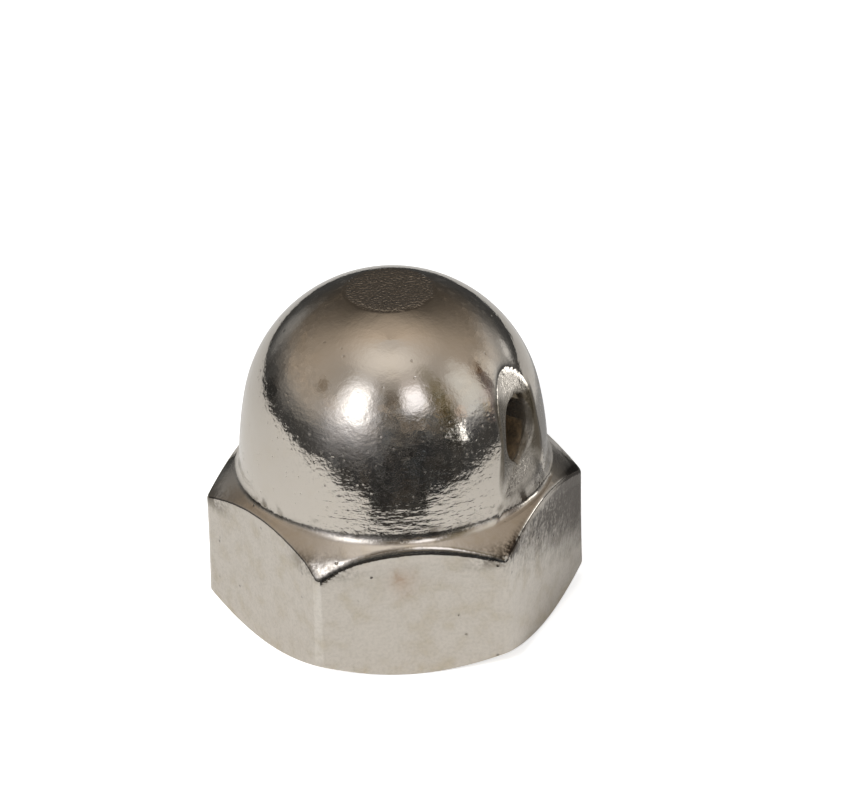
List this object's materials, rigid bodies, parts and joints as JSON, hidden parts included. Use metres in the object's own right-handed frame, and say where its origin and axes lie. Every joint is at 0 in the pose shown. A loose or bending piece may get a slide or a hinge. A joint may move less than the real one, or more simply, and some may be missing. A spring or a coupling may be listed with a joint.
{
  "type": "cap nut",
  "caption": "Domed hexagon cap nut with a blind threaded hole that takes a screw's end and a scooped window in the side of its dome.",
  "frame": {"origin": "centre of the bearing face, on the thread's axis", "axes": "+Z along the thread's axis towards the crown; two corners of the hexagon on the X axis; one flat faces -Y, and the dome's window faces 54.8 degrees from -Y towards +X"},
  "size_m": [0.0196, 0.017, 0.018],
  "materials": {
    "nickel_plating": "bright nickel plate, warm grey"
  },
  "bodies": {
    "root": {"cap_nut": "nickel_plating"}
  },
  "joints": []
}
